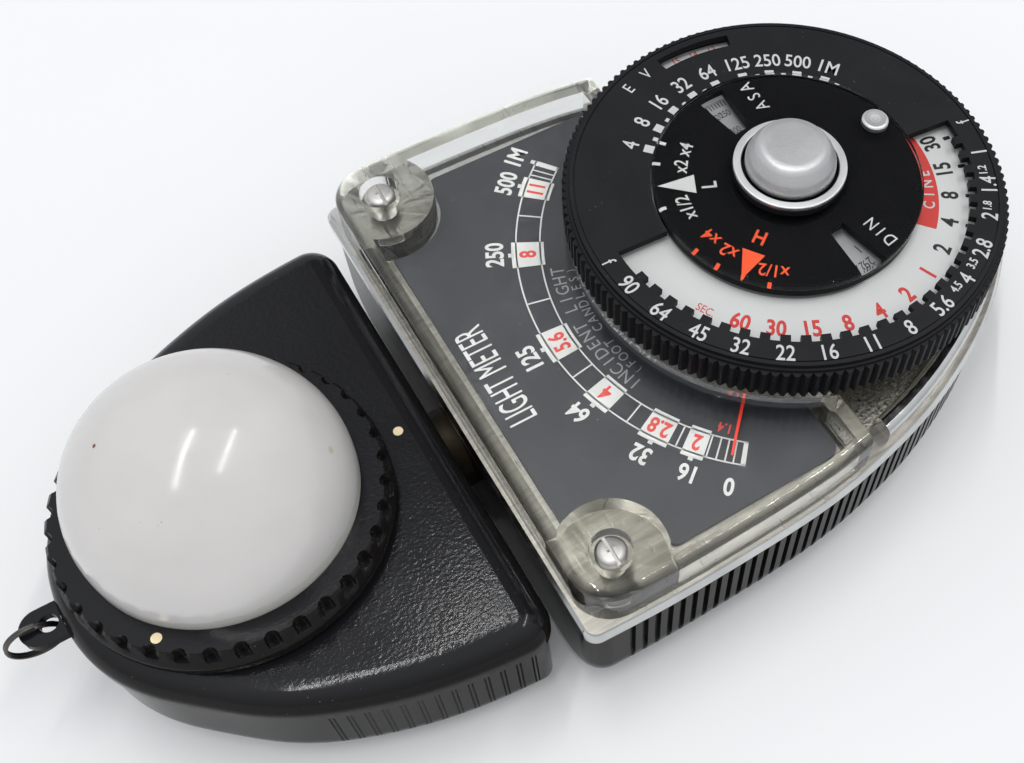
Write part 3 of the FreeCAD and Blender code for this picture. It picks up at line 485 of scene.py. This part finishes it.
def print_scale():
    """Foot-candle scale with its aperture boxes, and the words under it."""
    z = top_of("scale_plate") + 0.003
    white, red, grey = Print(z), Print(z + 0.014), Print(z)
    numbers = [("0", 136.6, 31.3), ("16", 128.5, 31.0), ("32", 119.2, 31.0), ("64", 104.8, 31.0),
               ("125", 89.6, 31.0), ("250", 64.2, 31.0), ("500", 45.8, 30.9), ("1M", 38.6, 31.1)]
    for words, angle, r in numbers:
        white.round_text(words, angle, r, 2.0, bold=0.025, squeeze=0.8)
    boxes = [("2", 128.2, 2.2), ("2.8", 119.7, 3.0), ("4", 105.7, 2.9), ("5.6", 89.3, 3.6),
             ("8", 64.6, 3.2), ("11", 45.9, 2.6)]
    for words, angle, width in boxes:
        half = math.degrees(width / 2 / BOX_ARC)
        white.band(25.7, 29.2, angle - half, angle + half)
        white.tick(29.1, 29.55, angle, 0.5)
        red.round_text(words, angle, BOX_RADIUS, 1.85, bold=0.03, squeeze=0.78)
    red.round_text("1.4", 132.9, 25.0, 1.1)
    for radius in reversed(SCALE_ARCS):
        white.band(radius, radius + SCALE_LINE, 38, 139)
    for angle in (136.5, 134.8, 133, 131, 124.5, 113.3, 98.2, 77.7, 53.9, 42.2, 40.7):
        white.tick(26.1, 28.7, angle, SCALE_LINE)
    white.band(26.0, 28.8, 38.0, 39.3)
    white.tick(28.7, 29.3, 38.6, 0.5)
    white.band(26.0, 28.8, 138.0, 139.0)
    grey.arched("INCIDENT LIGHT", 24.6, 109.0, 70.5, 1.4, bold=0.0)
    grey.arched("(FOOT CANDLES)", 23.1, 107.0, 71.0, 1.05, bold=0.0)
    white.text("LIGHT METER", 0.3, 35.0, 0, 3.1, 12.6, bold=0.0)
    white.finish("scale_print_white", INK_WHITE, "case", "dial_white")
    red.finish("scale_print_red", INK_RED, "case", "needle_red")
    grey.finish("scale_print_grey", GREY_INK_AND_SHADE, "case", "dial_white")


def print_outer_dial():
    """Aperture numbers, foot-candle numbers and the small words on the outer dial."""
    white = Print(top_of("dial_plate") + 0.002)
    stops = ["90", "64", "45", "32", "22", "16", "11", "8", "5.6", "4", "2.8", "2", "1.4", "1"]
    for i, words in enumerate(stops):
        white.round_text(words, 98 + 11.7 * i, STOP_RADIUS, 1.75, inward=True, bold=0.01,
                         squeeze=0.8)
    for angle in (89, 262):
        white.round_text("f", angle, 21.3, 1.5, inward=True, bold=0.0)
    for words, angle in (("4.5", 199.0), ("3.5", 208.8), ("1.8", 230.5), ("1.2", 243.6)):
        white.round_text(words, angle, 20.9, 0.95, inward=True)
    lights = [("4", 43.7), ("8", 32.0), ("16", 20.3), ("32", 8.6), ("64", -3.1), ("125", -15.6),
              ("250", -27.0), ("500", -38.6), ("1M", -50.5)]
    for words, angle in lights:
        white.round_text(words, angle, LIGHT_RADIUS, 1.8, bold=0.01, squeeze=0.8)
        white.tick(14.35, 15.4, angle, 1.0)
        white.tick(14.35, 14.9, angle - 5.8, 0.5)
    for words, angle in (("E", 22), ("V", 14)):
        white.round_text(words, angle, 20.6, 1.35, bold=0.0)
    white.finish("dial_print_white", INK_WHITE, "outer_dial", "dial_white")


def print_speed_disc():
    """Shutter times in red and black, the cine band, the film speeds and a grey ring of painted
    shadow where the pointer dial's windows show the disc.
    """
    z = top_of("speed_disc") + 0.002
    red, black, white, grey = Print(z), Print(z + 0.014), Print(z + 0.014), Print(z)
    red.round_text("SEC.", 118.5, 17.6, 0.9, inward=True, bold=0.0)
    for i, words in enumerate(["60", "30", "15", "8", "4", "2", "1"]):
        angle = 130.4 + 11.9 * i
        red.round_text(words, angle, TIME_RADIUS, 1.95, inward=True, bold=0.03, squeeze=0.8)
        red.tick(19.1, 19.9, angle, 0.45)
    for i, words in enumerate(["2", "4", "8", "15", "30"]):
        angle = 213.4 + 11.95 * i
        black.round_text(words, angle, TIME_RADIUS, 1.9, inward=True, bold=0.025, squeeze=0.8)
        black.tick(19.1, 19.9, angle, 0.45)
    red.band(*CINE_BAND, 221, 267)
    white.arched("CINE", 15.15, 232, 248, 1.25, inward=True, bold=0.015)
    # painted shadow: a grey ring on the white disc under the pointer dial, standing in for the
    # shade there
    grey.band(*SHADE_RING_RADII, 0, 360)
    for words, angle, r in (("400", 8.6, 11.9), ("320", 4.2, 11.9), ("250", -0.5, 11.9),
                            ("500", 6.4, 9.4), ("200", 1.0, 9.4)):
        black.round_text(words, angle, r, 0.85, bold=0.0, squeeze=0.7)
    for i in range(16):
        black.tick(12.9, 13.6, -12 + 1.6 * i, 0.12)
    for words, angle in (("13", -11.5), ("14", -5.5), ("15", 0.5), ("16", 6.0)):
        red.round_text(words, angle, 21.2, 0.9, bold=0.0)
    for words, angle, r in (("8", 179.5, 12.6), ("27", 183.5, 12.2), ("29", 188.5, 12.2),
                            ("1", 190.5, 10.4)):
        black.round_text(words, angle, r, 1.05, bold=0.0)
    red.finish("speed_print_red", INK_RED, "time_disc", "needle_red")
    black.finish("speed_print_black", INK_BLACK, "time_disc", "dial_black")
    white.finish("speed_print_white", INK_WHITE, "time_disc", "dial_white")
    grey.finish("speed_painted_shade", GREY_INK_AND_SHADE, "time_disc", "dial_white")


def print_pointer_dial():
    """High and low triangles with their filter factors."""
    z = top_of("pointer_print") + 0.003
    white, orange = Print(z), Print(z)

    def triangle(ink, angle, tip, base, width):
        c, s = polar(1.0, angle)
        h = width / 2
        ink.shape([(c * tip, s * tip), (c * base - s * h, s * base + c * h),
                   (c * base + s * h, s * base - c * h)])

    triangle(orange, 126, 13.95, 10.3, 2.4)
    orange.round_text("H", 125.6, 8.4, 1.7)
    for words, angle, r in (("x1/2", 138.6, 12.0), ("x2", 114.3, 11.5), ("x4", 102.0, 11.3)):
        orange.round_text(words, angle, r, 1.5, bold=0.01, squeeze=0.85)
    for angle in (102.6, 114.3, 137.7):
        orange.tick(13.3, 14.0, angle, 0.4)
    triangle(white, 64.3, 13.6, 9.7, 2.4)
    white.round_text("L", 65.8, 8.3, 1.6)
    for words, angle, r in (("x1/2", 79.5, 11.4), ("x2", 52.0, 11.2), ("x4", 40.0, 11.25)):
        white.round_text(words, angle, r, 1.45, bold=0.01, squeeze=0.85)
    for angle in (76.7, 51.9, 40.0):
        white.tick(13.3, 14.0, angle, 0.4)
    white.text("A S A", 11.1, -3.2, 0, 1.45, 4.2, bold=0.0)
    white.text("D I N", -10.5, -4.2, 10, 1.4, 3.6, bold=0.0)
    white.finish("pointer_print_white", INK_WHITE, "pointer", "dial_white")
    orange.finish("pointer_print_orange", INK_ORANGE, "pointer", "needle_red")


print_scale()
print_outer_dial()
print_speed_disc()
print_pointer_dial()


# ------------------------------------------------------------------ turned pieces

def soften(profile, radius, steps=4):
    """Rounds the corners of a closed profile, except those on the axis."""
    points = []
    n = len(profile)
    for i in range(n):
        corner = np.array(profile[i])
        before, after = np.array(profile[i - 1]) - corner, np.array(profile[(i + 1) % n]) - corner
        if corner[0] < 1e-6:
            points.append(tuple(corner))
            continue
        a = corner + before * min(0.45, radius / np.linalg.norm(before))
        b = corner + after * min(0.45, radius / np.linalg.norm(after))
        for k in range(steps + 1):
            t = k / steps
            points.append(tuple(a * (1 - t) ** 2 + corner * 2 * t * (1 - t) + b * t * t))
    return points


def lathe(name, profile, material, body, replaces, centre=(0.0, 0.0), segments=144):
    """Turns a closed profile of radius and height, in millimetres, about an upright axis."""
    rows = len(profile)
    angles = np.linspace(0, 2 * math.pi, segments, endpoint=False)
    verts = [((centre[0] + r * math.cos(a)) * MM, (centre[1] + r * math.sin(a)) * MM, z * MM)
             for a in angles for r, z in profile]
    faces = []
    for i in range(segments):
        j = (i + 1) % segments
        for k in range(rows):
            m = (k + 1) % rows
            if profile[k][0] > 1e-6 or profile[m][0] > 1e-6:
                faces.append((i * rows + k, j * rows + k, j * rows + m, i * rows + m))
    finish_mesh(name, verts, faces, material, body, replaces)


def finish_mesh(name, verts, faces, material, body, replaces, crease=32):
    """Welds and smooths a mesh, and makes it a piece."""
    mesh = bpy.data.meshes.new(name)
    mesh.from_pydata(verts, [], faces)
    work = bmesh.new()
    work.from_mesh(mesh)
    bmesh.ops.remove_doubles(work, verts=work.verts, dist=1e-7)
    bmesh.ops.recalc_face_normals(work, faces=work.faces)
    work.to_mesh(mesh)
    work.free()
    mesh.shade_smooth()
    mesh.set_sharp_from_angle(angle=math.radians(crease))
    add_piece(name, mesh, material, body, replaces)


def arc(z, r, start, end, steps):
    """Points of a circular arc in a profile, centred on the axis at a height."""
    angles = [math.radians(start + (end - start) * i / steps) for i in range(steps + 1)]
    return [(r * math.cos(a), z + r * math.sin(a)) for a in angles]


def centre_of(low, high):
    """Middle of a box seen from above, in millimetres."""
    return (low.x + high.x) / 2 / MM, (low.y + high.y) / 2 / MM


def make_dome():
    """Thin half ball on a short straight skirt."""
    low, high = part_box("diffuser_dome")
    centre = centre_of(low, high)
    r = (high.x - low.x) / 2 / MM
    middle = high.z / MM - r
    inner = r - 1.2
    outside = [(r, low.z / MM)] + arc(middle, r, 0, 90, 40)
    inside = arc(middle, inner, 90, 0, 24) + [(inner, low.z / MM)]
    profile = [(x if x > 1e-9 else 0.0, z) for x, z in outside + inside]
    lathe("dome", profile, LOOKS["opal"], "receptor", ["diffuser_dome"], centre, 192)


def make_button():
    """Hollow push button of grainy metal with a chamfered top."""
    outside = [(4.7, 30.25), (4.7, 31.2), (4.45, 31.95), (3.8, 33.0), (3.4, 33.38), (2.9, 33.49),
               (0, 33.5)]
    inside = [(0, 32.3), (3.2, 32.3), (3.7, 31.6), (3.9, 30.25)]
    look = surface("button_metal", (0.60, 0.60, 0.60), 0.46, 1.0, vary=0.08, grain=0.14,
                   depth=0.03, brush=(1, 0.5, 1)).material
    lathe("push_button", soften(outside + inside, 0.22), look, "button",
          ["center_button"])


def make_collar():
    """Bright ring and black cup round the button."""
    top = top_of("collar_ring")
    ring = [(5.05, top - 0.5), (5.9, top - 0.5), (5.9, top - 0.1), (5.82, top), (5.13, top),
            (5.05, top - 0.1)]
    lathe("button_ring", soften(ring, 0.06), LOOKS["aluminium"], "case",
          ["collar_ring"])
    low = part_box("collar_base")[0].z / MM
    cup = [(3.01, low), (5.6, low), (5.9, low + 0.3), (5.9, top - 0.5), (5.05, top - 0.5),
           (5.05, low + 0.2), (3.01, low + 0.2)]
    lathe("button_cup", soften(cup, 0.08), LOOKS["dial_black"], "case",
          ["collar_base"])


def make_knob():
    """Finger pin of the pointer dial, riveted through the clear disc."""
    low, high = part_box("pointer_knob")
    centre = centre_of(low, high)
    top, foot, r = high.z / MM, top_of("pointer_dial"), (high.x - low.x) / 2 / MM
    profile = [(0, top - 0.06), (0.5, top - 0.03), (r - 0.35, top), (r - 0.15, top - 0.02),
               (r, top - 0.2), (r, foot + 0.15), (r - 0.07, foot), (0.56, foot),
               (0.56, foot - 1.1), (0, foot - 1.1)]
    look = make_turned("turned_aluminium", (0.97, 0.97, 0.97), 0.36, 0.3, centre)
    lathe("pointer_pin", soften(profile, 0.05), look, "pointer", ["pointer_knob"],
          centre, 72)


def make_clear_disc():
    """Clear disc over the pointer dial's print, with a softened rim."""
    top, low = top_of("pointer_dial"), top_of("pointer_print") - 0.01
    profile = [(3.06, low), (14.04, low), (14.14, low + 0.1), (14.14, top - 0.2), (13.98, top),
               (3.06, top)]
    lathe("pointer_lens", soften(profile, 0.1), make_clear("lens_clear", 1.15), "pointer",
          ["pointer_dial"], segments=192)


def make_split_ring():
    """Double-wound wire ring through the strap tab."""
    low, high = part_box("strap_ring")
    middle = (low + high) / 2 / MM
    wire = (high.x - low.x) / MM / 4
    radius = (high.z - low.z) / MM / 2 - 2 * wire
    turns, first, rows, sides = 2.0, 1.9, 150, 12
    verts, faces = [], []
    for i in range(rows + 1):
        t = i / rows
        a = 2 * math.pi * turns * t + first
        side = wire * 0.98 * math.tanh(8 * (t - 0.5))
        for k in range(sides):
            b = 2 * math.pi * k / sides
            r = radius + wire + wire * math.cos(b)
            verts.append(((middle.x + side + wire * math.sin(b)) * MM,
                          (middle.y + r * math.cos(a)) * MM, (middle.z + r * math.sin(a)) * MM))
    for i in range(rows):
        for k in range(sides):
            m = (k + 1) % sides
            faces.append((i * sides + k, i * sides + m, (i + 1) * sides + m, (i + 1) * sides + k))
    faces += [tuple(range(sides)), tuple(rows * sides + k for k in reversed(range(sides)))]
    finish_mesh("split_ring", verts, faces, LOOKS["ring_steel"], "strap_link",
                ["strap_ring"], 50)


make_dome()
make_button()
make_collar()
make_knob()
make_clear_disc()
make_split_ring()


# ------------------------------------------------------------------ stage

def make_floor():
    """Large pale floor, a hair below the case's flat back."""
    mesh = bpy.data.meshes.new("floor")
    half, low = FLOOR_HALF, -FLOOR_DROP * MM
    corners = [(-half, -half), (half, -half), (half, half), (-half, half)]
    mesh.from_pydata([(x, y, low) for x, y in corners], [], [(0, 1, 2, 3)])
    floor = bpy.data.objects.new("floor", mesh)
    bpy.context.scene.collection.objects.link(floor)
    look = Look("floor", Roughness=0.8)
    look.set(Base_Color=look.mix(look.noise(60.0, 3.0), (0.86, 0.86, 0.86), (0.89, 0.89, 0.89)))
    mesh.materials.append(look.material)


def make_camera():
    """Looks down on the meter from above the head's left side, slightly rolled."""
    target, distance = Vector((-10.84, 15.23, 17.0)) * MM, 135.36 * MM
    azimuth, elevation, roll = -128.77, 58.96, 6.64
    a, e, t = (math.radians(v) for v in (azimuth, elevation, roll))
    away = Vector((math.sin(a) * math.cos(e), -math.cos(a) * math.cos(e), math.sin(e)))
    right = (-away).cross(Vector((0, 0, 1))).normalized()
    up = right.cross(-away)
    right, up = right * math.cos(t) + up * math.sin(t), up * math.cos(t) - right * math.sin(t)
    data = bpy.data.cameras.new("camera")
    data.lens = 45.778
    data.sensor_width = 36.0
    data.shift_x, data.shift_y = -0.19888, -0.00674
    data.clip_start, data.clip_end = 0.01, 20.0
    camera = bpy.data.objects.new("camera", data)
    bpy.context.scene.collection.objects.link(camera)
    camera.matrix_world = Matrix.Translation(target + away * distance) @ Matrix(
        (right, up, away)).transposed().to_4x4()
    bpy.context.scene.camera = camera


def make_world():
    """Plain room light, brighter overhead and dim on the side the dials mirror."""
    world = bpy.data.worlds.new("studio")
    world.use_nodes = True
    tree = world.node_tree

    def ramp(value, a, b, c, d):
        node = tree.nodes.new("ShaderNodeMapRange")
        node.interpolation_type = "SMOOTHSTEP"
        tree.links.new(value, node.inputs["Value"])
        for key, v in (("From Min", a), ("From Max", b), ("To Min", c), ("To Max", d)):
            node.inputs[key].default_value = v
        return node.outputs["Result"]

    place = tree.nodes.new("ShaderNodeTexCoord").outputs["Generated"]
    split = tree.nodes.new("ShaderNodeSeparateXYZ")
    tree.links.new(place, split.inputs[0])
    facing = tree.nodes.new("ShaderNodeVectorMath")
    facing.operation = "DOT_PRODUCT"
    tree.links.new(place, facing.inputs[0])
    facing.inputs[1].default_value = SHADED_SIDE
    strength = tree.nodes.new("ShaderNodeMath")
    strength.operation = "MULTIPLY"
    tree.links.new(ramp(split.outputs["Z"], 0.0, 1.0, 0.64, 0.90), strength.inputs[0])
    tree.links.new(ramp(facing.outputs["Value"], 0.87, 0.97, 1.0, 0.25), strength.inputs[1])
    background = tree.nodes["Background"]
    background.inputs["Color"].default_value = (0.94, 0.97, 1.0, 1)
    tree.links.new(strength.outputs[0], background.inputs["Strength"])
    bpy.context.scene.world = world


def make_tube_light(name, start, end, power):
    """Straight ceiling tube between two points, facing down."""
    start, end = Vector(start), Vector(end)
    data = bpy.data.lights.new(name, "AREA")
    data.shape = "RECTANGLE"
    data.size, data.size_y = (end - start).length, TUBE_WIDTH
    data.energy = power
    light = bpy.data.objects.new(name, data)
    bpy.context.scene.collection.objects.link(light)
    along = (end - start).normalized()
    up = Vector((0, 0, 1))
    light.matrix_world = Matrix.Translation((start + end) / 2) @ Matrix(
        (along, up.cross(along), up)).transposed().to_4x4()


make_floor()
make_tube_light("tube_a", (0.27, -0.053, 0.8), (-0.232, 0.404, 0.8), 1.8)
make_tube_light("tube_b", (0.140, -0.476, 0.8), (-0.289, -0.099, 0.8), 1.3)
make_world()
make_camera()
bpy.context.scene.view_settings.view_transform = "Standard"
